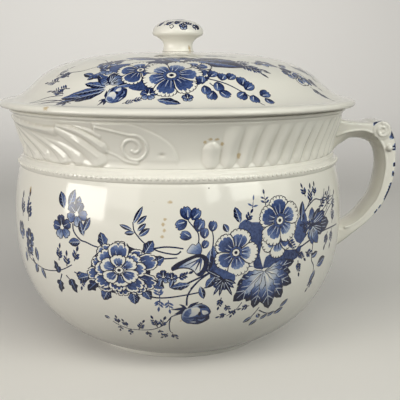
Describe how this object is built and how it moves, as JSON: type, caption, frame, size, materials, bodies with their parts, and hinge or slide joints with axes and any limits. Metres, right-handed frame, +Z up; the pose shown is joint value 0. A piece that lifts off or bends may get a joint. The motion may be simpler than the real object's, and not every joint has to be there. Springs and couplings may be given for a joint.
{
  "type": "covered chamber pot",
  "caption": "Round-bellied glazed earthenware chamber pot with a foot ring, relief neck border, scrolled strap handle and a loose domed lid with a mushroom knob.",
  "frame": {"origin": "centre of the foot ring, on the surface that the pot stands on", "axes": "+Z up along the pot's axis, +X towards the handle"},
  "size_m": [0.2611, 0.23, 0.2094],
  "materials": {
    "glazed_earthenware": "clear glaze over a blue print"
  },
  "bodies": {
    "pot": {"bowl": "glazed_earthenware", "neck_border": "glazed_earthenware", "handle": "glazed_earthenware"},
    "lid": {"lid": "glazed_earthenware", "knob": "glazed_earthenware"}
  },
  "joints": [
    {"name": "lid_lift", "type": "slide", "parent": "pot", "child": "lid", "axis": [0, 0, 1], "range_m": [0, 0.12]}
  ]
}
